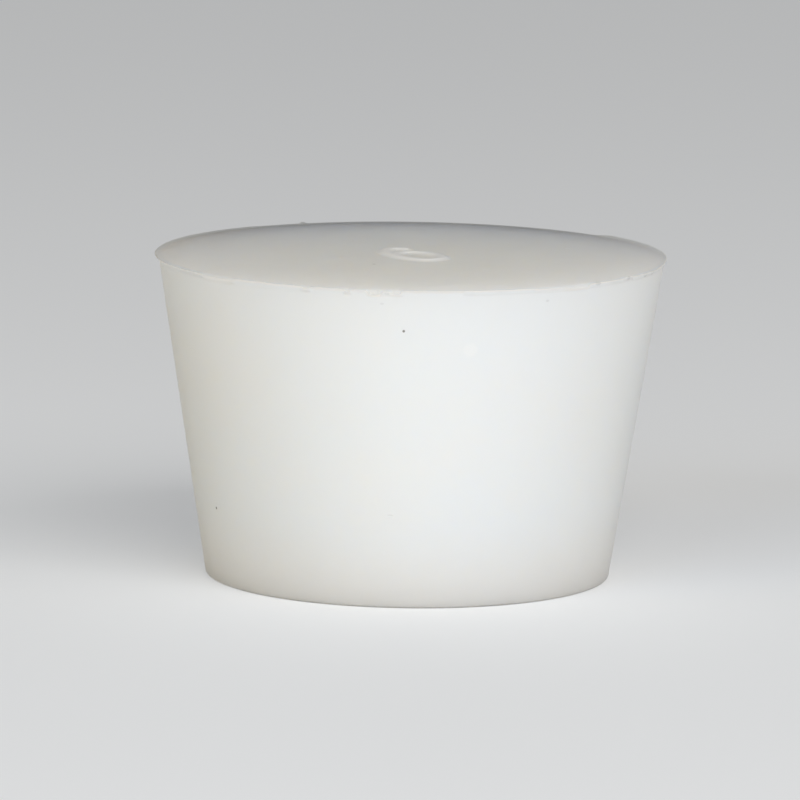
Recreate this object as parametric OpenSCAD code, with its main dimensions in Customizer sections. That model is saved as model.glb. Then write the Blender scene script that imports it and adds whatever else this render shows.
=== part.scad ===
// Solid silicone stopper for a round neck: a plain tapered plug, moulded in one piece.
// Its mould closes round the wide end and leaves flash there: a thin fin, flat on top, whose
// hollow underside runs out into the wall. The flash is trimmed by a round cut that is a
// little off centre, so a thin lip is left on one side and a low blunt step on the other.
// Millimetres. +Z runs from the small end to the wide end, and the origin is the centre of
// the small end's face, on which the stopper stands.

/* [Plug] */
// Diameter of the tapered wall where it reaches the wide end
wide_d = 45; // [38:0.5:60]
// Diameter of the tapered wall where it reaches the small end
small_d = 36; // [24:0.5:44]
// Height from the small end's face to the wide end's face
height = 28.6; // [15:0.1:45]
// Radius of the crisp moulded edge round the small end
small_edge_r = 0.25; // [0.05:0.05:1.5]

/* [Flash lip] */
// Mean distance that the trimmed lip stands out past the wall
lip_reach = 0.22; // [0.16:0.01:0.3]
// Distance between the axis of the trimming cut and the plug's axis
lip_shift = 0.14; // [0:0.01:0.15]
// Direction of that shift, turned from +X towards +Y, in degrees
lip_shift_angle = 135; // [0:5:355]
// Height over which the flash's hollow underside runs out into the wall
lip_drop = 0.68; // [0.52:0.02:2]
// Least width of flash that the cut takes off
trim_waste = 0.04; // [0.02:0.01:0.05]

/* [Hidden] */
$fn = 180;

// Angle by which the wall leans out as it rises
wall_lean = atan((wide_d - small_d) / 2 / height);

// Distance that the flash stands out past the wall before it is trimmed
flash_reach = lip_reach + lip_shift + trim_waste;

// How far the trimming cut runs past the two faces of the plug
cut_run = 1;

// Radius of the tapered wall at a height above the small end's face
function wall_r(z) = small_d / 2 + z * tan(wall_lean);

// The way that a surface faces when it leans out by this angle as it rises, in a profile
function facing(lean) = [cos(lean), -sin(lean)];

// Half the section of the stopper as it leaves the mould. A circle that touches the small
// end's face and the wall rounds the edge between them. A larger one, which touches the wall
// and passes through the flash's tip, hollows the flash from below.
module moulded_profile() {
    edge_inset = small_edge_r * (1 - sin(wall_lean)) / cos(wall_lean);
    edge_centre = [small_d / 2 - edge_inset, small_edge_r];
    root = [wall_r(height - lip_drop), height - lip_drop];
    tip = [wide_d / 2 + flash_reach, height];
    span = tip - root;
    hollow_r = span * span / (2 * span * facing(wall_lean));
    difference() {
        polygon([
            [0, 0],
            [edge_centre[0], 0],
            edge_centre + small_edge_r * facing(wall_lean),
            root,
            tip,
            [0, height]
        ]);
        translate(root + hollow_r * facing(wall_lean)) circle(r = hollow_r);
    }
    translate(edge_centre) circle(r = small_edge_r);
}

// What the trimming cut leaves standing: all that lies inside an upright cylinder
module trimming_cut() {
    centre = lip_shift * [cos(lip_shift_angle), sin(lip_shift_angle)];
    translate([centre[0], centre[1], -cut_run])
        cylinder(h = height + 2 * cut_run, r = wide_d / 2 + lip_reach);
}

module stopper() {
    color("ivory")
        intersection() {
            rotate_extrude() moulded_profile();
            trimming_cut();
        }
}

stopper();
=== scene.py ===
"""A moulded silicone rubber stopper, standing on its small end on a pale bench.

Lengths are in metres. The origin is the centre of the small end's face, +Z runs up to the
wide end, and -Y is the near side. A bearing is an angle round the stopper's axis, in
degrees, turned from +X towards +Y, so the near side is at 270.

The stopper is one piece. Geometry nodes spin its outline round the axis, trim the flash
lip round the wide end off centre, and raise the moulded size digit on the wide end's face.
"""

from __future__ import annotations

import logging
import math
from dataclasses import dataclass, field
from enum import Enum
from typing import Any

import bpy
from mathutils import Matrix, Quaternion, Vector

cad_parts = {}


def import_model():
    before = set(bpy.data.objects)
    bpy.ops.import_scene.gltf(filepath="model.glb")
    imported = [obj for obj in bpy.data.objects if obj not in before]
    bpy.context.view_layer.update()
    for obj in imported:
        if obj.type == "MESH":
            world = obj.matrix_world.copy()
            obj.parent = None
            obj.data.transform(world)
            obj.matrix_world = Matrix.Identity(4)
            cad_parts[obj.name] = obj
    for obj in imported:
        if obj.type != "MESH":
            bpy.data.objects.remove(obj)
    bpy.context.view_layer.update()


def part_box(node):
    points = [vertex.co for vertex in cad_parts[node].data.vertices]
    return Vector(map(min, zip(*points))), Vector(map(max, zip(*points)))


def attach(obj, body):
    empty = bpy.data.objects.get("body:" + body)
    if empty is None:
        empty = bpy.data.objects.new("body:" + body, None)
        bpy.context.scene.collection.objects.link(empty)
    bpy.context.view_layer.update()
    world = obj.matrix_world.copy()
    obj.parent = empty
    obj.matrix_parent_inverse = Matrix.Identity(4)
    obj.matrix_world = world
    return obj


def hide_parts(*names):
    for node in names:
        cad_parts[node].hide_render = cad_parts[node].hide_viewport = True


LOG = logging.getLogger("stopper")
MM = 0.001
WELD = 0.001 * MM  # points nearer to each other than this are one

Value = Any  # a socket of another node, or a plain number, vector or text
Colour = tuple[float, float, float]


class Calc(Enum):
    """The sums that the node trees use."""

    ADD = "ADD"
    SUBTRACT = "SUBTRACT"
    MULTIPLY = "MULTIPLY"
    DIVIDE = "DIVIDE"
    MINIMUM = "MINIMUM"
    MAXIMUM = "MAXIMUM"
    POWER = "POWER"
    SINE = "SINE"
    COSINE = "COSINE"
    ABSOLUTE = "ABSOLUTE"
    WRAP = "WRAP"
    GREATER = "GREATER_THAN"


class Whole(Enum):
    """The sums on whole numbers that the node trees use."""

    MULTIPLY = "MULTIPLY"
    FLOOR_DIVIDE = "DIVIDE_FLOOR"
    REMAINDER = "MODULO"
    ADD = "ADD"


class Ease(Enum):
    """How a value runs between the ends of its range."""

    STRAIGHT = "LINEAR"
    SMOOTH = "SMOOTHSTEP"


class Seed(Enum):
    """Which noise each pattern takes, so that no two patterns follow each other."""

    GRAIN = 1.0
    PATCHES = 2.0
    RIPPLE = 3.0
    CLOUDS = 4.0
    KNIFE = 7.0


class Wiring:
    """Adds nodes to one tree and links them up."""

    def __init__(self, tree: bpy.types.NodeTree) -> None:
        """Starts work on a tree.

        Args:
            tree: The shader or geometry tree that the nodes go into.
        """
        self.tree = tree

    def node(self, kind: str, **settings: Any) -> bpy.types.Node:
        """Adds a node.

        Args:
            kind: The node's type.
            **settings: Properties to set on it.

        Returns:
            The new node.
        """
        made = self.tree.nodes.new(kind)
        for name, value in settings.items():
            setattr(made, name, value)
        return made

    def feed(self, socket: bpy.types.NodeSocket, value: Value) -> None:
        """Links a socket to another node's output, or sets its own value.

        Args:
            socket: The input socket.
            value: An output socket, or a plain value.
        """
        if isinstance(value, bpy.types.NodeSocket):
            self.tree.links.new(value, socket)
        else:
            socket.default_value = value

    def fill(self, made: bpy.types.Node, **values: Value) -> bpy.types.Node:
        """Feeds a node's inputs by name.

        A low line stands for a space, and one at the end is dropped, for names that the
        language keeps for itself.

        Args:
            made: The node.
            **values: What goes into each input.

        Returns:
            The same node.
        """
        for name, value in values.items():
            self.feed(made.inputs[name.replace("_", " ").strip()], value)
        return made

    def calc(self, sum_kind: Calc, *values: Value) -> bpy.types.NodeSocket:
        """Works out one sum.

        Args:
            sum_kind: Which sum.
            *values: The numbers that go in.

        Returns:
            The result's socket.
        """
        made = self.node("ShaderNodeMath", operation=sum_kind.value)
        for socket, value in zip(made.inputs, values):
            self.feed(socket, value)
        return made.outputs[0]

    def run(
        self,
        value: Value,
        start: Value,
        end: Value,
        first: Value = 0.0,
        last: Value = 1.0,
        ease: Ease = Ease.SMOOTH,
    ) -> bpy.types.NodeSocket:
        """Carries a value from one range to another and holds it at the ends.

        Args:
            value: The value.
            start: Where the old range starts.
            end: Where the old range ends.
            first: The result at the start.
            last: The result at the end.
            ease: How the result runs between them.

        Returns:
            The result's socket.
        """
        made = self.node("ShaderNodeMapRange", interpolation_type=ease.value)
        for socket, item in zip(made.inputs, (value, start, end, first, last)):
            self.feed(socket, item)
        return made.outputs["Result"]

    def point(self, x: Value, y: Value, z: Value) -> bpy.types.NodeSocket:
        """Joins three numbers into a vector and returns its socket."""
        return self.fill(self.node("ShaderNodeCombineXYZ"), X=x, Y=y, Z=z).outputs[0]

    def parts(self, vector: Value) -> bpy.types.bpy_prop_collection:
        """Splits a vector and returns its three sockets."""
        return self.fill(self.node("ShaderNodeSeparateXYZ"), Vector=vector).outputs

    def mix(self, share: Value, first: Value, second: Value) -> bpy.types.NodeSocket:
        """Mixes two colours.

        Args:
            share: How much of the second one there is, from 0 to 1.
            first: The first colour.
            second: The second colour.

        Returns:
            The socket of the mix.
        """
        made = self.node("ShaderNodeMix", data_type="RGBA")
        return self.fill(made, Factor=share, A=first, B=second).outputs["Result"]

    def noise(
        self, vector: Value, lump: float, seed: Value, detail: float = 3.0
    ) -> bpy.types.NodeSocket:
        """Reads a seeded noise.

        Args:
            vector: Where to read it.
            lump: The width of one of its lumps.
            seed: Which noise it is.
            detail: How many finer layers it has.

        Returns:
            The socket of a number around 0.5.
        """
        made = self.node("ShaderNodeTexNoise", noise_dimensions="4D")
        self.fill(made, Vector=vector, W=seed, Scale=1 / lump, Detail=detail)
        return made.outputs["Fac"]


class ShapeTree(Wiring):
    """A geometry tree whose sizes are named inputs."""

    def __init__(self, name: str) -> None:
        """Makes the tree with its geometry input and output.

        Args:
            name: The tree's name.
        """
        super().__init__(bpy.data.node_groups.new(name, "GeometryNodeTree"))
        for way in ("INPUT", "OUTPUT"):
            self.tree.interface.new_socket("Geometry", in_out=way, socket_type="NodeSocketGeometry")
        self.source = self.node("NodeGroupInput")
        self.sink = self.node("NodeGroupOutput")
        self.settings: dict[str, Value] = {}

    def size(self, name: str, value: Value, kind: str = "Float") -> bpy.types.NodeSocket:
        """Adds a named input.

        Args:
            name: The input's name.
            value: What the modifier sets it to.
            kind: Float, Int or Material.

        Returns:
            The socket that carries it inside the tree.
        """
        item = self.tree.interface.new_socket(
            name, in_out="INPUT", socket_type=f"NodeSocket{kind}"
        )
        self.settings[item.identifier] = value
        return next(s for s in self.source.outputs if s.identifier == item.identifier)

    def whole(self, sum_kind: Whole, first: Value, second: Value) -> bpy.types.NodeSocket:
        """Works out one sum on whole numbers.

        Args:
            sum_kind: Which sum.
            first: The first number.
            second: The second number.

        Returns:
            The result's socket.
        """
        made = self.node("FunctionNodeIntegerMath", operation=sum_kind.value)
        for socket, value in zip(made.inputs, (first, second)):
            self.feed(socket, value)
        return made.outputs[0]

    def shape(self, obj: bpy.types.Object) -> None:
        """Runs the tree on an object and keeps the result as its plain mesh.

        A grid made in the tree brings an empty material slot, which is dropped.

        Args:
            obj: The object whose mesh goes in and comes out.
        """
        modifier = obj.modifiers.new(self.tree.name, "NODES")
        modifier.node_group = self.tree
        for identifier, value in self.settings.items():
            modifier[identifier] = value
        graph = bpy.context.evaluated_depsgraph_get()
        made = bpy.data.meshes.new_from_object(obj.evaluated_get(graph), depsgraph=graph)
        while made.materials and made.materials[0] is None:
            made.materials.pop(index=0)
        blank = obj.data
        obj.modifiers.remove(modifier)
        obj.data = made
        bpy.data.meshes.remove(blank)


@dataclass(frozen=True)
class Viewpoint:
    """The camera: where it stands, what it looks at and how it is held.

    Attributes:
        pivot: The point that it stands off from.
        aim: The point in the middle of its view.
        distance: How far it stands from the pivot.
        elevation: How far it stands above the pivot's level, as an angle.
        roll: How far it is turned about its own line of sight.
        lens: Its focal length in millimetres.
        sensor: The width of its sensor in millimetres.
        near: The least distance at which it sees anything.
    """

    pivot: Vector = field(default_factory=lambda: Vector((0, 0, 13.5 * MM)))
    aim: Vector = field(default_factory=lambda: Vector((-0.84 * MM, 0, 15.57 * MM)))
    distance: float = 675 * MM
    elevation: float = math.radians(9.07)
    roll: float = math.radians(0.82)
    lens: float = 340.4
    sensor: float = 36.0
    near: float = 10 * MM

    def build(self) -> bpy.types.Object:
        """Makes the camera and hands it to the scene.

        Returns:
            The camera's object.
        """
        lens = bpy.data.cameras.new("camera")
        lens.sensor_width = self.sensor
        lens.lens = self.lens
        lens.clip_start = self.near
        camera = bpy.data.objects.new("camera", lens)
        bpy.context.scene.collection.objects.link(camera)
        back = Vector((0, -math.cos(self.elevation), math.sin(self.elevation)))
        camera.location = self.pivot + self.distance * back
        level = (self.aim - camera.location).to_track_quat("-Z", "Y")
        camera.rotation_euler = (level @ Quaternion((0, 0, 1), self.roll)).to_euler()
        bpy.context.scene.camera = camera
        return camera


@dataclass(frozen=True)
class SoftBox:
    """One soft studio lamp: a lit rectangle that faces the stopper.

    Attributes:
        name: The lamp's name.
        bearing: Which way it stands from the stopper.
        elevation: How far up it stands, in degrees.
        distance: How far off it stands.
        width: Its width.
        height: Its height.
        power: Its power in watts.
        tint: Its colour.
        in_gloss: Whether it shows in glossy skin.
    """

    name: str
    bearing: float
    elevation: float
    distance: float
    width: float
    height: float
    power: float
    tint: Colour
    in_gloss: bool = True

    def build(self, target: Vector) -> bpy.types.Object:
        """Makes the lamp.

        Args:
            target: The point that it faces.

        Returns:
            The lamp's object.
        """
        lamp = bpy.data.lights.new(self.name, "AREA")
        lamp.shape = "RECTANGLE"
        lamp.size = self.width
        lamp.size_y = self.height
        lamp.energy = self.power
        lamp.color = self.tint
        obj = bpy.data.objects.new(self.name, lamp)
        bpy.context.scene.collection.objects.link(obj)
        bearing = math.radians(self.bearing)
        elevation = math.radians(self.elevation)
        level = math.cos(elevation)
        way = Vector((level * math.cos(bearing), level * math.sin(bearing), math.sin(elevation)))
        obj.location = target + self.distance * way
        obj.rotation_euler = way.to_track_quat("Z", "Y").to_euler()
        obj.visible_camera = False
        obj.visible_glossy = self.in_gloss
        return obj


@dataclass(frozen=True)
class Studio:
    """The pale bench, the grey walls round it and the soft lamps.

    Attributes:
        walls: The colour that the walls show.
        bench_radius: The radius of the bench top.
        bench_corners: How many corners its outline has.
        bench_gap: How far it lies below the stopper's foot.
        bench_pale: Its colour where it is seen.
        bench_glow: What it adds to that by glowing, where it is seen.
        bounce: Its colour where it only lights the stopper.
        bench_roughness: How rough it is.
        bench_gloss: How much gloss it has.
    """

    walls: Colour = (0.11, 0.11, 0.11)
    bench_radius: float = 1.3
    bench_corners: int = 96
    bench_gap: float = 0.01 * MM
    bench_pale: Colour = (0.50, 0.505, 0.51)
    bench_glow: Colour = (0.34, 0.345, 0.35)
    bounce: Colour = (0.46, 0.46, 0.46)
    bench_roughness: float = 0.9
    bench_gloss: float = 0.1

    def lamps(self) -> list[SoftBox]:
        """Lists the lamps.

        Returns:
            The lamps, the strongest first and the one behind last.
        """
        return [
            SoftBox("key_light", 294, 36, 0.9, 0.7, 0.5, 5.7, (1.01, 1.0, 0.98)),
            SoftBox("right_fill", 332, 12, 0.9, 0.5, 0.3, 2.3, (1.03, 1.0, 0.95)),
            SoftBox("left_fill", 235, 24, 0.9, 0.6, 0.4, 2.8, (0.87, 1.0, 1.2)),
            SoftBox("low_left_fill", 210, 12, 0.9, 0.5, 0.3, 1.6, (1.3, 1.0, 0.45)),
            SoftBox("back_fill", 90, 4.5, 0.9, 0.9, 0.14, 0.6, (1.0, 0.98, 0.95), in_gloss=False),
        ]

    def seen_directly(self, wiring: Wiring) -> bpy.types.NodeSocket:
        """Tells a ray that shows the surroundings from one that only lights by them.

        Args:
            wiring: The tree that asks.

        Returns:
            The socket of a number: 1 for a camera, mirror or glass ray, and 0 for others.
        """
        path = wiring.node("ShaderNodeLightPath")
        mirrored = wiring.calc(
            Calc.MAXIMUM, path.outputs["Is Glossy Ray"], path.outputs["Is Transmission Ray"]
        )
        return wiring.calc(Calc.MAXIMUM, path.outputs["Is Camera Ray"], mirrored)

    def surroundings(self) -> None:
        """Makes the world: grey walls to look at, which give no light of their own."""
        world = bpy.data.worlds.new("surroundings")
        bpy.context.scene.world = world
        world.use_nodes = True
        wiring = Wiring(world.node_tree)
        background = world.node_tree.nodes["Background"]
        background.inputs["Color"].default_value = (*self.walls, 1)
        wiring.feed(background.inputs["Strength"], self.seen_directly(wiring))

    def bench(self) -> bpy.types.Object:
        """Makes the bench top.

        Returns:
            The bench's object.
        """
        material = bpy.data.materials.new("bench_top")
        material.use_nodes = True
        wiring = Wiring(material.node_tree)
        surface = material.node_tree.nodes["Principled BSDF"]
        surface.inputs["Roughness"].default_value = self.bench_roughness
        surface.inputs["Specular IOR Level"].default_value = self.bench_gloss
        seen = self.seen_directly(wiring)
        colour = wiring.mix(seen, (*self.bounce, 1), (*self.bench_pale, 1))
        wiring.feed(surface.inputs["Base Color"], colour)
        surface.inputs["Emission Color"].default_value = (*self.bench_glow, 1)
        wiring.feed(surface.inputs["Emission Strength"], seen)
        mesh = bpy.data.meshes.new("bench")
        count = self.bench_corners
        turns = [math.tau * step / count for step in range(count)]
        edge = [
            (self.bench_radius * math.cos(t), self.bench_radius * math.sin(t), -self.bench_gap)
            for t in turns
        ]
        mesh.from_pydata(edge, [], [tuple(range(count))])
        mesh.materials.append(material)
        bench = bpy.data.objects.new("bench", mesh)
        bpy.context.scene.collection.objects.link(bench)
        return bench

    def build(self, target: Vector) -> None:
        """Makes the whole studio.

        Args:
            target: The point that the lamps face.
        """
        self.surroundings()
        self.bench()
        for lamp in self.lamps():
            lamp.build(target)


class BlemishKind(Enum):
    """The kinds of small mark: flaws in the silicone, and dashes of painted shade under the lip."""

    SPECK = "speck"
    PIT = "pit"
    # Darker smudges, and dashes of painted shade where the lip's flaps overhang the wall.
    SHADE_AND_SMUDGE = "shade_and_smudge"
    BLOOM = "bloom"


@dataclass(frozen=True)
class Blemish:
    """A small mark at one place on the stopper: a flaw in the silicone, a darker smudge, or a dash
    of painted shade under the lip.

    Attributes:
        kind: What it is.
        place: Its centre.
        radius: Half its width.
        flatness: How much wider it is than it is high.
        strength: How dark, pale or deep it is, from 0 to 1.
    """

    kind: BlemishKind
    place: Vector
    radius: float
    flatness: float
    strength: float


@dataclass(frozen=True)
class SiliconeFinish:
    """Milky translucent silicone with the satin skin that a mould leaves.

    Attributes:
        slot: The frame's name for it; not used.
        wall_milk_and_light: The colour of the wall's skin, partly painted light: the wall and the
            face take lit and shaded tones of one silicone.
        face_warm_and_light: The colour of the body that shows in the wide end's face, partly
            painted light in the same way.
        cloud_and_foot_light: The yellower colour of the clouds, and of the foot, where it is a
            painted warmer tint for the light scattered out near the base.
        chalky_and_highlight: The colour of the lighter spots, and of the digit, where it is a
            painted highlight on its raised strokes.
        dirt_and_shade: The colour of specks and darker smudges, and of the painted shade in dashes
            under the lip.
        scatter: How far each colour of light goes in it, as a share of the depth.
        scatter_depth: How far light goes in it.
        wall_share: How much of the light goes into it through the wall's skin.
        face_share: The same through the wide end's face.
        digit_share: The same through the digit.
        roughness: How rough its skin is.
        roughness_swing: How far the roughness strays from that.
        patchy: The ends of the noise between which the roughness swings.
        gloss: How much gloss it has.
        index: Its refractive index.
        grain: The width of the finest grain of its skin.
        grain_depth: How deep that grain is.
        ripple: The width of the soft ripple in its skin.
        ripple_depth: How deep that ripple is.
        cloud: The width of a cloud.
        cloudy: The ends of the noise between which a cloud comes.
        cloud_share: How far a cloud goes towards the yellower colour.
        foot: How far up the painted warmer tint of the foot reaches.
        foot_share: How far the foot goes towards the yellower colour.
        pit_depth: How deep a pit is.
        core: The share of a flaw's radius within which it shows in full.
    """

    slot: str = "silicone"
    wall_milk_and_light: Colour = (0.83, 0.855, 0.86)
    face_warm_and_light: Colour = (0.885, 0.86, 0.80)
    cloud_and_foot_light: Colour = (0.89, 0.84, 0.76)
    chalky_and_highlight: Colour = (0.985, 0.965, 0.925)
    dirt_and_shade: Colour = (0.10, 0.09, 0.08)
    scatter: Colour = (1.0, 0.9, 0.75)
    scatter_depth: float = 32.0 * MM
    wall_share: float = 0.5
    face_share: float = 1.0
    digit_share: float = 0.1
    roughness: float = 0.5
    roughness_swing: float = 0.06
    patchy: tuple[float, float] = (0.3, 0.7)
    gloss: float = 0.2
    index: float = 1.41
    grain: float = 0.35 * MM
    grain_depth: float = 0.003 * MM
    ripple: float = 2.6 * MM
    ripple_depth: float = 0.010 * MM
    cloud: float = 9.0 * MM
    cloudy: tuple[float, float] = (0.35, 0.75)
    cloud_share: float = 0.2
    foot: float = 9.0 * MM
    foot_share: float = 0.6
    pit_depth: float = 0.05 * MM
    core: float = 0.5

    def material(self, blemishes: list[Blemish]) -> bpy.types.Material:
        """Makes the material.

        The wide end's face lets more light into the body than the wall's skin does, and the digit
        lets in the least. With the colours, these shares partly paint light: the face and the wall
        are lit and shaded tones of one silicone, and the digit is a painted highlight.

        Args:
            blemishes: The flaws, and the dashes of painted shade under the lip, that it shows.

        Returns:
            The material.
        """
        material = bpy.data.materials.new("milky_silicone")
        material.use_nodes = True
        wiring = Wiring(material.node_tree)
        surface = material.node_tree.nodes["Principled BSDF"]
        surface.inputs["IOR"].default_value = self.index
        surface.inputs["Specular IOR Level"].default_value = self.gloss
        surface.inputs["Subsurface Radius"].default_value = self.scatter
        surface.inputs["Subsurface Scale"].default_value = self.scatter_depth
        place = wiring.node("ShaderNodeTexCoord").outputs["Object"]
        raised = wiring.node("ShaderNodeAttribute", attribute_name="raised").outputs["Fac"]
        marks = {kind: self.mask(wiring, place, blemishes, kind) for kind in BlemishKind}
        skinned = wiring.node("ShaderNodeAttribute", attribute_name="skinned").outputs["Fac"]
        # Partly painted light: the face, the wall and the digit let different shares of light into
        # the body, which paint the digit lighter and the face and the wall as differently lit.
        share = wiring.run(skinned, 0, 1, self.face_share, self.wall_share, Ease.STRAIGHT)
        share = wiring.run(raised, 0, 1, share, self.digit_share, Ease.STRAIGHT)
        wiring.feed(surface.inputs["Subsurface Weight"], share)
        colour = self.colour(wiring, place, skinned, raised, marks)
        wiring.feed(surface.inputs["Base Color"], colour)
        wiring.feed(surface.inputs["Roughness"], self.skin(wiring, place))
        wiring.feed(surface.inputs["Normal"], self.relief(wiring, place, marks))
        return material

    def mask(
        self, wiring: Wiring, place: Value, blemishes: list[Blemish], kind: BlemishKind
    ) -> Value:
        """Finds how strongly one kind of flaw shows.

        Args:
            wiring: The material's tree.
            place: The socket of the point's own coordinates.
            blemishes: All flaws.
            kind: The kind asked for.

        Returns:
            The socket of a number from 0 to 1, or 0 where there is no such flaw.
        """
        total: Value = 0.0
        for flaw in blemishes:
            if flaw.kind is not kind:
                continue
            turn = wiring.node("ShaderNodeMapping", vector_type="TEXTURE")
            wiring.fill(turn, Vector=place, Location=flaw.place, Scale=(1, 1, 1 / flaw.flatness))
            length = wiring.node("ShaderNodeVectorMath", operation="LENGTH")
            wiring.feed(length.inputs[0], turn.outputs[0])
            away = length.outputs["Value"]
            shown = wiring.run(away, self.core * flaw.radius, flaw.radius, flaw.strength, 0.0)
            total = wiring.calc(Calc.MAXIMUM, total, shown)
        return total

    def colour(
        self,
        wiring: Wiring,
        place: Value,
        skinned: Value,
        raised: Value,
        marks: dict[BlemishKind, Value],
    ) -> bpy.types.NodeSocket:
        """Mixes the body colour, its faint clouds, its lighter spots, the painted highlight of the
        digit, the painted warmer foot, the specks and smudges and the painted shade under the lip.

        Args:
            wiring: The material's tree.
            place: The socket of the point's own coordinates.
            skinned: The socket that is 1 on the wall's skin, and 0 on the wide end's face.
            raised: The socket of how far up the digit's slope the point is.
            marks: How strongly each kind of flaw shows.

        Returns:
            The colour's socket.
        """
        clouds = wiring.noise(place, self.cloud, Seed.CLOUDS.value)
        cloudy = wiring.run(clouds, *self.cloudy, 0.0, self.cloud_share)
        # Painted warmer tint: the foot turns yellower towards the bottom, for the light scattered
        # out of the silicone near the base.
        low = wiring.run(wiring.parts(place)[2], 0.0, self.foot, self.foot_share, 0.0)
        # Partly painted light: the face and the wall take different tones of one silicone, as each
        # is lit.
        body = wiring.mix(skinned, (*self.face_warm_and_light, 1), (*self.wall_milk_and_light, 1))
        body = wiring.mix(wiring.calc(Calc.MAXIMUM, cloudy, low), body, (*self.cloud_and_foot_light, 1))
        # Painted highlight: the digit's raised strokes are painted lighter for the light that they
        # catch; the blooms are lighter spots.
        highlit_and_paler = wiring.calc(Calc.MAXIMUM, raised, marks[BlemishKind.BLOOM])
        body = wiring.mix(highlit_and_paler, body, (*self.chalky_and_highlight, 1))
        # Specks are grime in the silicone, the smudges are darker spots, and the dashes under the
        # lip are painted shade.
        dirt_and_shade = wiring.calc(Calc.MAXIMUM, marks[BlemishKind.SPECK], marks[BlemishKind.SHADE_AND_SMUDGE])
        return wiring.mix(dirt_and_shade, body, (*self.dirt_and_shade, 1))

    def skin(self, wiring: Wiring, place: Value) -> bpy.types.NodeSocket:
        """Varies the roughness a little.

        Args:
            wiring: The material's tree.
            place: The socket of the point's own coordinates.

        Returns:
            The socket of the roughness.
        """
        patches = wiring.noise(place, self.ripple, Seed.PATCHES.value)
        swing = self.roughness_swing
        return wiring.run(patches, *self.patchy, self.roughness - swing, self.roughness + swing)

    def relief(
        self, wiring: Wiring, place: Value, marks: dict[BlemishKind, Value]
    ) -> bpy.types.NodeSocket:
        """Builds the skin's grain, its soft ripple and the pits in it.

        Args:
            wiring: The material's tree.
            place: The socket of the point's own coordinates.
            marks: How strongly each kind of flaw shows.

        Returns:
            The socket of the changed normal.
        """
        grain = wiring.noise(place, self.grain, Seed.GRAIN.value, detail=2.0)
        ripple = wiring.noise(place, self.ripple, Seed.RIPPLE.value, detail=2.0)
        height = wiring.calc(
            Calc.ADD,
            wiring.calc(Calc.MULTIPLY, grain, self.grain_depth),
            wiring.calc(Calc.MULTIPLY, ripple, self.ripple_depth),
        )
        pits = wiring.calc(Calc.MULTIPLY, marks[BlemishKind.PIT], -self.pit_depth)
        bump = wiring.node("ShaderNodeBump")
        wiring.fill(bump, Height=wiring.calc(Calc.ADD, height, pits), Distance=1.0, Strength=1.0)
        return bump.outputs["Normal"]


@dataclass(frozen=True)
class Trim:
    """A stretch of the rim where the flash differs from the rest.

    Attributes:
        start: The bearing where it starts.
        end: The bearing where it ends, more than 360 if it runs on past that.
        keep: The share of the usual reach that is left there, over 1 where it stands out more.
        sag: How far the flash hangs down there, or less than 0 where it curls up.
        comes: The turn over which it comes, in degrees.
        goes: The turn over which it goes, in degrees.
    """

    start: float
    end: float
    keep: float = 1.0
    sag: float = 0.0
    comes: float = 0.7
    goes: float = 0.7


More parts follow.
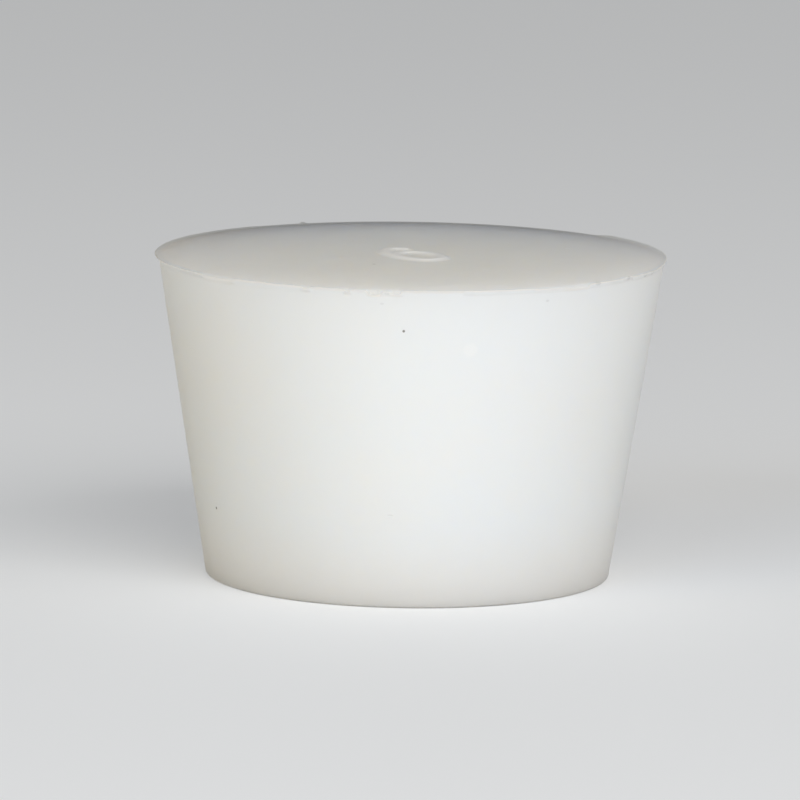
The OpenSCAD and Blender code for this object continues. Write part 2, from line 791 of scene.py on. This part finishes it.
@dataclass(frozen=True)
class FlashLip:
    """The thin flash that the mould's closing edge leaves round the wide end, as trimmed.

    Whole flash is flat on top and runs back into the wall in a hollow curve. The knife cuts
    it off centre, which leaves a thin fin on one side and a low blunt step on the other.

    Attributes:
        reach: How far the cut stands out past the wall, on average.
        shift: How far off centre the cut is.
        shift_bearing: Which way the cut is off centre.
        whole_reach: How far the whole flash would stand out.
        flare: How sharply the hollow curve turns out: the power that it follows.
        drop: How far down the wall the hollow curve ends, on average.
        drop_swing: How much further down it ends on the deep side.
        edge: The radius of the worn corner on top.
        edge_steps: How many steps that corner is rounded in.
        rings: Where the rings under it lie: 2 is the end of the hollow curve, 1 the foot of
            the cut and 0 its top.
        wall_gap: How far below the hollow curve's lowest end the wall's last ring lies.
        bare_sag: How far the flash sags where its skin is gone.
        ragged: How far the cut wanders in and out, as a share of the reach.
        wander: The length of one such wander along the rim.
        trims: The stretches that differ from the rest.
    """

    reach: float
    shift: float
    shift_bearing: float
    whole_reach: float = 0.40 * MM
    flare: float = 3.0
    drop: float = 0.72 * MM
    drop_swing: float = 0.22 * MM
    edge: float = 0.04 * MM
    edge_steps: int = 3
    rings: tuple[float, ...] = (2.0, 1.85, 1.7, 1.55, 1.4, 1.27, 1.14, 1.05, 1.0, 0.5)
    wall_gap: float = 0.16 * MM
    bare_sag: float = 0.2 * MM
    ragged: float = 0.35
    wander: float = 1.3 * MM
    trims: tuple[Trim, ...] = (
        Trim(350.0, 400.0, 1.2, -0.18 * MM, 12.0, 8.0),
        Trim(128.0, 160.0, 1.0, -0.05 * MM, 8.0, 8.0),
        Trim(115.4, 116.6, 1.3, -0.12 * MM, 0.5, 0.5),
        Trim(163.4, 164.8, 1.25, 0.0, 0.5, 0.5),
        Trim(190.0, 216.2, 1.1, 0.0, 8.0, 1.5),
        Trim(216.2, 226.5, 0.2, 0.16 * MM, 2.0, 3.0),
        Trim(226.5, 245.2, 0.05),
        Trim(233.7, 235.6, 3.0, -0.04 * MM),
        Trim(245.2, 247.0, 0.5, 0.15 * MM, 0.5, 0.5),
        Trim(247.0, 255.2, 0.0),
        Trim(255.2, 256.6, 0.5, 0.20 * MM, 0.5, 0.5),
        Trim(256.6, 260.5, 0.0, 0.0, 0.5, 0.5),
        Trim(260.5, 263.2, 0.3, 0.42 * MM, 1.2, 0.8),
        Trim(263.2, 265.5, 0.2, 0.12 * MM),
        Trim(265.5, 267.9, 0.3, 0.28 * MM, 0.6, 0.9),
        Trim(267.9, 281.8, 0.0),
        Trim(281.8, 284.2, 0.4, -0.02 * MM),
        Trim(284.2, 298.5, 0.2),
        Trim(298.5, 306.5, 0.2, 0.10 * MM, 2.0, 2.0),
        Trim(306.5, 313.5, 0.3, 0.24 * MM, 3.0, 1.2),
        Trim(313.5, 319.0, 0.3),
        Trim(319.0, 324.0, 0.6),
        Trim(324.0, 325.6, 0.3),
        Trim(325.6, 329.3, 1.3, -0.12 * MM),
        Trim(329.3, 335.0, 0.4),
        Trim(335.0, 338.0, 1.6),
        Trim(339.0, 343.6, 1.6),
    )

    def window(self, tree: ShapeTree, bearing: Value, trim: Trim) -> bpy.types.NodeSocket:
        """Marks a stretch of the rim.

        Args:
            tree: The tree at work.
            bearing: The socket of the point's bearing, in degrees.
            trim: The stretch.

        Returns:
            The socket of a number: 1 inside the stretch, and 0 outside it.
        """
        middle = (trim.start + trim.end) / 2
        half = (trim.end - trim.start) / 2
        past = tree.calc(Calc.SUBTRACT, bearing, middle)
        past = tree.calc(Calc.WRAP, past, 180.0, -180.0)
        come = tree.run(past, -half - trim.comes / 2, -half + trim.comes / 2)
        gone = tree.run(past, half - trim.goes / 2, half + trim.goes / 2, 1.0, 0.0)
        return tree.calc(Calc.MULTIPLY, come, gone)

    def cut(
        self, tree: ShapeTree, bearing: Value, facing: Value, way: Value
    ) -> tuple[Value, Value]:
        """Works out how far the flash stands out once it is cut, and how far it hangs down.

        Args:
            tree: The tree at work.
            bearing: The socket of the point's bearing.
            facing: The socket of a number: 1 on the deep side of the cut, and -1 opposite.
            way: The socket of the point on the rim at this bearing.

        Returns:
            The sockets of the reach and of the sag.
        """
        reach = tree.size("Lip Reach", self.reach)
        shift = tree.size("Lip Shift", self.shift)
        out = tree.calc(Calc.ADD, reach, tree.calc(Calc.MULTIPLY, shift, facing))
        sag: Value = 0.0
        for trim in self.trims:
            inside = self.window(tree, bearing, trim)
            share = tree.run(inside, 0, 1, 1.0, trim.keep, Ease.STRAIGHT)
            out = tree.calc(Calc.MULTIPLY, out, share)
            if trim.sag:
                sag = tree.calc(Calc.ADD, sag, tree.calc(Calc.MULTIPLY, inside, trim.sag))
        return tree.calc(Calc.MULTIPLY, out, self.wandering(tree, way)), sag

    def wandering(self, tree: ShapeTree, way: Value) -> bpy.types.NodeSocket:
        """Works out how far the cut strays from its line.

        Args:
            tree: The tree at work.
            way: The socket of the point on the rim at this bearing.

        Returns:
            The socket of a factor on the reach.
        """
        ragged = tree.size("Raggedness", self.ragged)
        seed = tree.size("Seed", Seed.KNIFE.value)
        noise = tree.noise(way, self.wander, seed)
        strayed = tree.calc(Calc.MULTIPLY, tree.calc(Calc.SUBTRACT, noise, 0.5), ragged)
        return tree.calc(Calc.ADD, strayed, 1.0)


@dataclass(frozen=True)
class SizeDigit:
    """The plain size digit that stands up from the wide end's face.

    It is drawn as two part ellipses that share their lowest point: a tall one for its back,
    and a low one for its bowl. It reads 6 from the near side and 9 from the far side.

    Attributes:
        height: The height of its centre line.
        width: The width of its centre line.
        bowl: The height of its bowl's centre line.
        stroke: The width of its stroke.
        relief: How far it stands up.
        slope: How far in from the stroke's edge it is still rising.
        turn: How far it is turned from upright, in degrees.
        place: Its centre on the face.
        back_start: The angle at which its back starts, in degrees.
        back_sweep: The angle that its back runs through.
        bowl_start: The angle at which its bowl starts.
        bowl_sweep: The angle that its bowl runs through.
        arc_points: How many points each part ellipse is drawn with.
    """

    height: float = 7.6 * MM
    width: float = 3.7 * MM
    bowl: float = 5.15 * MM
    stroke: float = 2.0 * MM
    relief: float = 0.2 * MM
    slope: float = 0.85 * MM
    turn: float = 26.5
    place: tuple[float, float] = (0.09 * MM, 0.18 * MM)
    back_start: float = 62.0
    back_sweep: float = 208.0
    bowl_start: float = -90.0
    bowl_sweep: float = 262.0
    arc_points: int = 64

    def arc(
        self, tree: ShapeTree, across: Value, up: Value, lift: Value, start: float, sweep: float
    ) -> bpy.types.NodeSocket:
        """Draws a part of an ellipse.

        Args:
            tree: The tree at work.
            across: Its width.
            up: Its height.
            lift: How far its centre is above the digit's centre.
            start: The angle at which it starts, in degrees.
            sweep: The angle that it runs through, in degrees.

        Returns:
            The socket of the curve.
        """
        made = tree.node("GeometryNodeCurveArc", mode="RADIUS")
        tree.fill(
            made,
            Resolution=self.arc_points,
            Radius=0.5,
            Start_Angle=math.radians(start),
            Sweep_Angle=math.radians(sweep),
        )
        laid = tree.node("GeometryNodeTransform")
        tree.fill(
            laid,
            Geometry=made.outputs["Curve"],
            Translation=tree.point(0.0, lift, 0.0),
            Scale=tree.point(across, up, 1.0),
        )
        return laid.outputs[0]

    def raised(self, tree: ShapeTree, place: Value) -> bpy.types.NodeSocket:
        """Works out how far up the digit's slope each point of the face is.

        Args:
            tree: The tree at work.
            place: The socket of the point on the face, at no height.

        Returns:
            The socket of a number: 0 off the digit, and 1 along the top of its stroke.
        """
        height = tree.size("Digit Height", self.height)
        width = tree.size("Digit Width", self.width)
        bowl = tree.size("Bowl Height", self.bowl)
        stroke = tree.size("Digit Stroke", self.stroke)
        lower = tree.calc(Calc.MULTIPLY, tree.calc(Calc.SUBTRACT, bowl, height), 0.5)
        drawn = tree.node("GeometryNodeJoinGeometry")
        for curve in (
            self.arc(tree, width, height, 0.0, self.back_start, self.back_sweep),
            self.arc(tree, width, bowl, lower, self.bowl_start, self.bowl_sweep),
        ):
            tree.feed(drawn.inputs[0], curve)
        placed = tree.node("GeometryNodeTransform")
        tree.fill(
            placed,
            Geometry=drawn.outputs[0],
            Translation=(*self.place, 0),
            Rotation=(0, 0, math.radians(self.turn)),
        )
        line = tree.fill(tree.node("GeometryNodeCurveToMesh"), Curve=placed.outputs[0])
        near = tree.node("GeometryNodeProximity", target_element="EDGES")
        tree.feed(near.inputs[0], line.outputs[0])
        tree.feed(near.inputs["Sample Position"], place)
        half = tree.calc(Calc.MULTIPLY, stroke, 0.5)
        inner = tree.calc(Calc.SUBTRACT, half, self.slope)
        return tree.run(near.outputs["Distance"], inner, half, 1.0, 0.0)


@dataclass(frozen=True)
class Station:
    """One point of the stopper's outline.

    Attributes:
        radius: Its distance from the axis.
        height: Its height.
        lip: 1 where it moves out with the trimmed lip, and 0 elsewhere.
        under: Where it lies under the lip: 0 at the edge, 1 at the foot of the cut, 2 at the
            end of the hollow curve.
        hang: Its share of the flash's sag.
        skinned: 1 where it has the wall's skin, and 0 on the wide end's face.
        stride: How many columns of the spun mesh share one point here.
    """

    radius: float
    height: float
    lip: float = 0.0
    under: float = 0.0
    hang: float = 0.0
    skinned: float = 1.0
    stride: int = 1


@dataclass(frozen=True)
class Outline:
    """The stopper's outline, from the small end's centre up the wall to the digit's disc.

    Attributes:
        height: The stopper's height.
        wide_radius: The wall's radius at the wide end.
        small_radius: The wall's radius at the small end.
        foot_edge: The radius of the edge round the small end.
        disc_radius: The radius of the disc that carries the digit.
        disc_cells: How many cells that disc has each way.
        disc_stride: How many columns of the spun mesh share one point of the disc's edge.
        edge_steps: How many steps the edge round the small end is rounded in.
        wall_start: The height of the wall's first ring.
        wall_steps: How many steps the wall is drawn in.
        foot_rings: The radius and the stride of each ring of the small end's face.
        foot_gap: How far in from the edge round it that face's last ring lies.
        lip_rings: The rings of the wide end's face that move with the lip: how far in each
            lies, its shares of the lip's move and of its sag, and its share of skin.
        face_rings: The radius and the stride of each further ring of that face.
    """

    height: float
    wide_radius: float = 22.5 * MM
    small_radius: float = 18.0 * MM
    foot_edge: float = 0.25 * MM
    disc_radius: float = 6.2 * MM
    disc_cells: int = 150
    disc_stride: int = 2
    edge_steps: int = 5
    wall_start: float = 0.625 * MM
    wall_steps: int = 12
    foot_rings: tuple[tuple[float, int], ...] = (
        (0.0, 24), (1.6 * MM, 24), (3.6 * MM, 12), (7.0 * MM, 4), (11.0 * MM, 4), (15.0 * MM, 2)
    )
    foot_gap: float = 0.5 * MM
    lip_rings: tuple[tuple[float, float, float, float], ...] = (
        (0.08 * MM, 1.0, 1.0, 1.0),
        (0.2 * MM, 0.0, 0.35, 0.5),
        (0.45 * MM, 0.0, 0.1, 0.0),
    )
    face_rings: tuple[tuple[float, int], ...] = (
        (21.7 * MM, 1), (21.3 * MM, 2), (19.9 * MM, 2), (18.0 * MM, 2), (15.8 * MM, 2),
        (13.5 * MM, 2), (11.4 * MM, 2), (9.5 * MM, 2), (7.8 * MM, 2)
    )

    @property
    def lean(self) -> float:
        """The angle by which the wall leans out as it rises."""
        return math.atan((self.wide_radius - self.small_radius) / self.height)

    @property
    def columns(self) -> int:
        """The number of columns in the spun mesh, which the four sides of the disc share."""
        return 4 * self.disc_stride * self.disc_cells

    def wall(self, height: float) -> float:
        """The wall's radius at a height."""
        return self.small_radius + height * math.tan(self.lean)

    def foot(self) -> list[Station]:
        """Lists the stations of the small end's face and the edge round it.

        Returns:
            The stations, from the axis out to the foot of the wall.
        """
        inset = self.foot_edge * (1 - math.sin(self.lean)) / math.cos(self.lean)
        centre = self.small_radius - inset
        rings = [Station(radius, 0.0, stride=stride) for radius, stride in self.foot_rings]
        rings.append(Station(centre - self.foot_gap, 0.0))
        swing = math.pi / 2 - self.lean
        for step in range(self.edge_steps + 1):
            turn = -math.pi / 2 + swing * step / self.edge_steps
            out = self.foot_edge * math.cos(turn)
            rings.append(Station(centre + out, self.foot_edge * (1 + math.sin(turn))))
        return rings

    def side(self, lip: FlashLip) -> list[Station]:
        """Lists the stations of the wall.

        Args:
            lip: The lip above it.

        Returns:
            The stations, from the foot's edge to just under the lip.
        """
        low = self.wall_start
        high = self.height - lip.drop - lip.drop_swing - lip.wall_gap
        steps = self.wall_steps
        heights = [low + (high - low) * step / steps for step in range(steps + 1)]
        return [Station(self.wall(height), height) for height in heights]

    def rim(self, lip: FlashLip) -> list[Station]:
        """Lists the stations of the lip.

        Args:
            lip: The lip.

        Returns:
            The stations, from the end of the hollow curve, round the edge, onto the face.
        """
        corner = self.height - lip.edge
        rings = [Station(self.wall(corner), corner, 1.0, under, 1.0) for under in lip.rings]
        for step in range(lip.edge_steps + 1):
            turn = math.pi / 2 * step / lip.edge_steps
            radius = self.wide_radius - lip.edge * (1 - math.cos(turn))
            rise = lip.edge * math.sin(turn)
            rings.append(Station(radius, corner + rise, lip=1.0, hang=1.0, skinned=0.0))
        for inset, share, hang, skinned in self.lip_rings:
            radius = self.wide_radius - inset
            rings.append(Station(radius, self.height, share, 0.0, hang, skinned))
        return rings

    def face(self) -> list[Station]:
        """Lists the stations of the wide end's face.

        Returns:
            The stations, from inside the lip to the edge of the digit's disc.
        """
        rings = (*self.face_rings, (self.disc_radius, self.disc_stride))
        return [Station(radius, self.height, skinned=0.0, stride=step) for radius, step in rings]

    def mesh(self, lip: FlashLip) -> bpy.types.Mesh:
        """Puts the stations into a mesh as loose points that carry their own values.

        Args:
            lip: The lip.

        Returns:
            The mesh.
        """
        stations = self.foot() + self.side(lip) + self.rim(lip) + self.face()
        mesh = bpy.data.meshes.new("stopper_outline")
        mesh.from_pydata([(s.radius, 0, s.height) for s in stations], [], [])
        for name in ("lip", "under", "hang", "skinned"):
            layer = mesh.attributes.new(name, "FLOAT", "POINT")
            layer.data.foreach_set("value", [getattr(s, name) for s in stations])
        layer = mesh.attributes.new("stride", "INT", "POINT")
        layer.data.foreach_set("value", [s.stride for s in stations])
        return mesh


@dataclass(frozen=True)
class Stopper:
    """The whole stopper: its outline, its flash lip, its digit, its flaws and painted shade, and
    its finish.
    """

    outline: Outline
    lip: FlashLip
    digit: SizeDigit
    finish: SiliconeFinish

    @classmethod
    def from_frame(cls, node: str) -> Stopper:
        """Takes the stopper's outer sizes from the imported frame.

        Args:
            node: The stopper's node.

        Returns:
            The stopper.
        """
        low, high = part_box(node)
        outline = Outline(height=high.z)
        middle = (low + high) / 2
        lip = FlashLip(
            reach=(high.x - low.x) / 2 - outline.wide_radius,
            shift=math.hypot(middle.x, middle.y),
            shift_bearing=math.degrees(math.atan2(middle.y, middle.x)),
        )
        return cls(outline, lip, SizeDigit(), SiliconeFinish())

    def on_wall(self, bearing: float, height: float) -> Vector:
        """Finds a point of the wall.

        Args:
            bearing: Its bearing.
            height: Its height.

        Returns:
            The point.
        """
        turn = math.radians(bearing)
        radius = self.outline.wall(height)
        return Vector((radius * math.cos(turn), radius * math.sin(turn), height))

    def blemishes(self) -> list[Blemish]:
        """Lists the flaws in the silicone and the dashes of painted shade under the lip.

        Returns:
            The flaws and painted shade of the wall, then the flaws of the wide end's face.
        """
        speck, pit, shade_and_smudge, bloom = BlemishKind
        wall = (  # kind, bearing, height, radius, flatness and strength
            (speck, 268.5, 25.0, 0.15, 1.0, 0.8),
            (speck, 208.0, 7.1, 0.16, 1.0, 0.8),
            (pit, 265.4, 8.4, 0.30, 3.0, 0.8),
            # Two darker smudges below the rim.
            (shade_and_smudge, 302.0, 27.4, 0.22, 1.5, 0.12),
            (shade_and_smudge, 263.6, 27.4, 0.22, 1.8, 0.10),
            # Painted shade: dark dashes under the lip's flaps, where the flash overhangs the wall.
            (shade_and_smudge, 264.7, 28.3, 0.30, 2.5, 0.12),
            (shade_and_smudge, 316.3, 28.5, 0.45, 2.0, 0.15),
            (shade_and_smudge, 327.2, 28.6, 0.40, 1.5, 0.15),
            (shade_and_smudge, 335.8, 28.4, 0.35, 1.5, 0.12),
            (shade_and_smudge, 340.2, 28.4, 0.35, 1.5, 0.12),
            (bloom, 283.9, 23.3, 0.8, 1.0, 0.15),
        )
        face = (  # kind, place along X and along Y, radius and strength
            (speck, -3.3, -6.0, 0.22, 0.35),
            (bloom, 14.0, 6.0, 0.35, 0.4),
        )
        flaws = [
            Blemish(kind, self.on_wall(bearing, height * MM), radius * MM, flatness, strength)
            for kind, bearing, height, radius, flatness, strength in wall
        ]
        for kind, x, y, radius, strength in face:
            place = Vector((x * MM, y * MM, self.outline.height))
            flaws.append(Blemish(kind, place, radius * MM, 1.0, strength))
        return flaws

    def build(self) -> bpy.types.Object:
        """Makes the stopper's mesh with its geometry tree.

        Returns:
            The stopper's object.
        """
        obj = bpy.data.objects.new("stopper_body", self.outline.mesh(self.lip))
        bpy.context.scene.collection.objects.link(obj)
        tree = ShapeTree("moulded_stopper")
        spun = self.spin(tree)
        disc = self.disc(tree)
        joined = tree.node("GeometryNodeJoinGeometry")
        tree.feed(joined.inputs[0], disc)
        tree.feed(joined.inputs[0], spun)
        sewn = tree.node("GeometryNodeMergeByDistance")
        tree.fill(sewn, Geometry=joined.outputs[0], Distance=WELD)
        smooth = tree.fill(tree.node("GeometryNodeSetShadeSmooth"), Geometry=sewn.outputs[0])
        whole = tree.fill(tree.node("GeometryNodeRealizeInstances"), Geometry=smooth.outputs[0])
        silicone = tree.size("Silicone", self.finish.material(self.blemishes()), "Material")
        dressed = tree.node("GeometryNodeSetMaterial")
        tree.fill(dressed, Geometry=whole.outputs[0], Material=silicone)
        tree.feed(tree.sink.inputs[0], dressed.outputs[0])
        tree.shape(obj)
        return obj

    def sample(self, tree: ShapeTree, value: Value, row: Value, kind: str) -> Value:
        """Reads one value of the outline at a row.

        Args:
            tree: The tree at work.
            value: The socket of the value on the outline.
            row: The socket of the row's number.
            kind: The value's type.

        Returns:
            The socket of the value read.
        """
        made = tree.node("GeometryNodeSampleIndex", data_type=kind)
        tree.fill(made, Geometry=tree.source.outputs[0], Value=value, Index=row)
        return made.outputs[0]

    def named(self, tree: ShapeTree, name: str, row: Value, kind: str = "FLOAT") -> Value:
        """Reads one named value of the outline at a row.

        Args:
            tree: The tree at work.
            name: The value's name.
            row: The socket of the row's number.
            kind: The value's type.

        Returns:
            The socket of the value read.
        """
        made = tree.node("GeometryNodeInputNamedAttribute", data_type=kind)
        tree.feed(made.inputs[0], name)
        return self.sample(tree, made.outputs[0], row, kind)

    def spin(self, tree: ShapeTree) -> bpy.types.NodeSocket:
        """Spins the outline round the axis and trims the lip.

        Args:
            tree: The tree at work.

        Returns:
            The socket of the spun mesh.
        """
        columns = tree.size("Columns", self.outline.columns, "Int")
        lean = tree.size("Wall Slope", math.tan(self.outline.lean))
        counted = tree.node("GeometryNodeAttributeDomainSize")
        tree.feed(counted.inputs[0], tree.source.outputs[0])
        rows = counted.outputs["Point Count"]
        grid = tree.node("GeometryNodeMeshGrid")
        tree.fill(grid, Vertices_X=tree.whole(Whole.ADD, columns, 1), Vertices_Y=rows)
        index = tree.node("GeometryNodeInputIndex").outputs[0]
        row = tree.whole(Whole.REMAINDER, index, rows)
        column = tree.whole(Whole.FLOOR_DIVIDE, index, rows)
        stride = self.named(tree, "stride", row, "INT")
        kept = tree.whole(
            Whole.MULTIPLY, tree.whole(Whole.FLOOR_DIVIDE, column, stride), stride
        )
        turn = tree.calc(Calc.DIVIDE, kept, columns)
        angle = tree.calc(Calc.MULTIPLY, turn, math.tau)
        bearing = tree.calc(Calc.MULTIPLY, turn, 360.0)
        cosine = tree.calc(Calc.COSINE, angle)
        sine = tree.calc(Calc.SINE, angle)
        place = tree.node("GeometryNodeInputPosition").outputs[0]
        radius, _, height = tree.parts(self.sample(tree, place, row, "FLOAT_VECTOR"))
        wide = self.outline.wide_radius
        way = tree.point(
            tree.calc(Calc.MULTIPLY, cosine, wide), tree.calc(Calc.MULTIPLY, sine, wide), 0.0
        )
        out, fall, bare = self.lip_moves(tree, angle, bearing, way, row)
        inward = tree.calc(Calc.MULTIPLY, fall, lean)
        radius = tree.calc(Calc.SUBTRACT, tree.calc(Calc.ADD, radius, out), inward)
        height = tree.calc(Calc.SUBTRACT, height, fall)
        placed = tree.point(
            tree.calc(Calc.MULTIPLY, radius, cosine),
            tree.calc(Calc.MULTIPLY, radius, sine),
            height,
        )
        marked = tree.node("GeometryNodeStoreNamedAttribute", data_type="FLOAT", domain="POINT")
        covered = tree.calc(Calc.SUBTRACT, 1.0, bare)
        # This mark also picks between the face's and the wall's partly painted lit tones.
        skinned = tree.calc(Calc.MULTIPLY, self.named(tree, "skinned", row), covered)
        tree.fill(marked, Geometry=grid.outputs["Mesh"], Name="skinned", Value=skinned)
        moved = tree.node("GeometryNodeSetPosition")
        tree.fill(moved, Geometry=marked.outputs[0], Position=placed)
        return moved.outputs[0]

    def lip_moves(
        self, tree: ShapeTree, angle: Value, bearing: Value, way: Value, row: Value
    ) -> tuple[Value, Value, Value]:
        """Works out where the lip puts a point of the outline.

        Args:
            tree: The tree at work.
            angle: The socket of the point's bearing, in radians.
            bearing: The same in degrees.
            way: The socket of the point on the rim at this bearing.
            row: The socket of the point's row in the outline.

        Returns:
            The sockets of its move outwards, of its fall, and of how bare of skin it is: 1
            under the tip of whole flash and where it sags, and 0 on the wall.
        """
        lip = self.lip
        whole_reach = tree.size("Whole Flash Reach", lip.whole_reach)
        drop = tree.size("Lip Drop", lip.drop)
        drop_swing = tree.size("Lip Drop Swing", lip.drop_swing)
        share = self.named(tree, "lip", row)
        under = self.named(tree, "under", row)
        hang = self.named(tree, "hang", row)
        turned = tree.calc(Calc.SUBTRACT, angle, math.radians(lip.shift_bearing))
        facing = tree.calc(Calc.COSINE, turned)
        reach, sag = lip.cut(tree, bearing, facing, way)
        reach = tree.calc(Calc.MINIMUM, reach, whole_reach)
        flare = tree.size("Lip Flare", lip.flare)
        root = tree.calc(Calc.DIVIDE, 1.0, flare)
        left = tree.calc(Calc.POWER, tree.calc(Calc.DIVIDE, reach, whole_reach), root)
        cut_foot = tree.calc(Calc.SUBTRACT, 1.0, left)
        on_cut = tree.calc(Calc.MULTIPLY, tree.calc(Calc.MINIMUM, under, 1.0), cut_foot)
        past_cut = tree.calc(Calc.MAXIMUM, tree.calc(Calc.SUBTRACT, under, 1.0), 0.0)
        depth = tree.calc(Calc.ADD, on_cut, tree.calc(Calc.MULTIPLY, past_cut, left))
        hollow = tree.calc(Calc.POWER, tree.calc(Calc.SUBTRACT, 1.0, depth), flare)
        flash = tree.calc(Calc.MULTIPLY, hollow, whole_reach)
        out = tree.calc(Calc.MULTIPLY, share, tree.calc(Calc.MINIMUM, reach, flash))
        deeper = tree.calc(Calc.MULTIPLY, drop_swing, facing)
        down = tree.calc(Calc.MULTIPLY, depth, tree.calc(Calc.ADD, drop, deeper))
        hung = tree.calc(Calc.MULTIPLY, hang, tree.calc(Calc.SUBTRACT, 1.0, depth))
        sunk = tree.calc(Calc.MULTIPLY, hung, sag)
        below = tree.calc(Calc.MINIMUM, under, 1.0)
        thin = tree.calc(Calc.MULTIPLY, below, tree.calc(Calc.DIVIDE, out, whole_reach))
        bare = tree.run(sunk, 0.0, lip.bare_sag, ease=Ease.STRAIGHT)
        return out, tree.calc(Calc.ADD, down, sunk), tree.calc(Calc.MAXIMUM, thin, bare)

    def disc(self, tree: ShapeTree) -> bpy.types.NodeSocket:
        """Makes the middle of the wide end's face, with the digit raised on it.

        A square grid is bent to a disc, ring by ring, so that its edge meets the spun face
        point for point.

        Args:
            tree: The tree at work.

        Returns:
            The socket of the disc.
        """
        cells = tree.size("Disc Cells", self.outline.disc_cells, "Int")
        lines = tree.whole(Whole.ADD, cells, 1)
        grid = tree.node("GeometryNodeMeshGrid")
        tree.fill(grid, Size_X=2.0, Size_Y=2.0, Vertices_X=lines, Vertices_Y=lines)
        across, along, _ = tree.parts(tree.node("GeometryNodeInputPosition").outputs[0])
        flat = tree.point(*self.bent(tree, across, along), 0.0)
        y, x = self.bent(tree, along, across)
        steep = tree.point(x, y, 0.0)
        wider = tree.calc(
            Calc.GREATER,
            tree.calc(Calc.ABSOLUTE, along),
            tree.calc(Calc.ABSOLUTE, across),
        )
        chosen = tree.node("GeometryNodeSwitch", input_type="VECTOR")
        tree.fill(chosen, Switch=wider, False_=flat, True_=steep)
        scaled = tree.node("ShaderNodeVectorMath", operation="SCALE")
        tree.feed(scaled.inputs[0], chosen.outputs[0])
        tree.feed(scaled.inputs["Scale"], self.outline.disc_radius)
        x, y, _ = tree.parts(scaled.outputs[0])
        raised = self.digit.raised(tree, scaled.outputs[0])
        lift = tree.calc(Calc.MULTIPLY, raised, tree.size("Digit Relief", self.digit.relief))
        height = tree.calc(Calc.ADD, lift, self.outline.height)
        marked = tree.node("GeometryNodeStoreNamedAttribute", data_type="FLOAT", domain="POINT")
        tree.fill(marked, Geometry=grid.outputs["Mesh"], Name="raised", Value=raised)
        moved = tree.node("GeometryNodeSetPosition")
        tree.fill(moved, Geometry=marked.outputs[0], Position=tree.point(x, y, height))
        return moved.outputs[0]

    def bent(self, tree: ShapeTree, major: Value, minor: Value) -> tuple[Value, Value]:
        """Bends a square's quarter to a disc's.

        Args:
            tree: The tree at work.
            major: The socket of the coordinate that is further from the centre.
            minor: The socket of the other one.

        Returns:
            The sockets of the bent coordinates, in the same order.
        """
        share = tree.calc(Calc.DIVIDE, minor, major)
        angle = tree.calc(Calc.MULTIPLY, share, math.pi / 4)
        return (
            tree.calc(Calc.MULTIPLY, major, tree.calc(Calc.COSINE, angle)),
            tree.calc(Calc.MULTIPLY, major, tree.calc(Calc.SINE, angle)),
        )

    def mount(self, piece: bpy.types.Object, node: str) -> None:
        """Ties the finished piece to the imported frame.

        Args:
            piece: The stopper's object.
            node: The frame's node that it stands for.
        """
        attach(piece, "root")
        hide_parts(node)


def main() -> None:
    """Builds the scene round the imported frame."""
    logging.basicConfig(level=logging.INFO, format="%(name)s: %(message)s")
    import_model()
    scene = bpy.context.scene
    scene.view_settings.view_transform = "Standard"
    view = Viewpoint()
    view.build()
    LOG.info("camera at %.0f mm", view.distance / MM)
    Studio().build(view.pivot)
    LOG.info("studio ready")
    stopper = Stopper.from_frame("stopper")
    piece = stopper.build()
    stopper.mount(piece, "stopper")
    LOG.info("%s: %d faces", piece.name, len(piece.data.polygons))


if __name__ == "__main__":
    main()
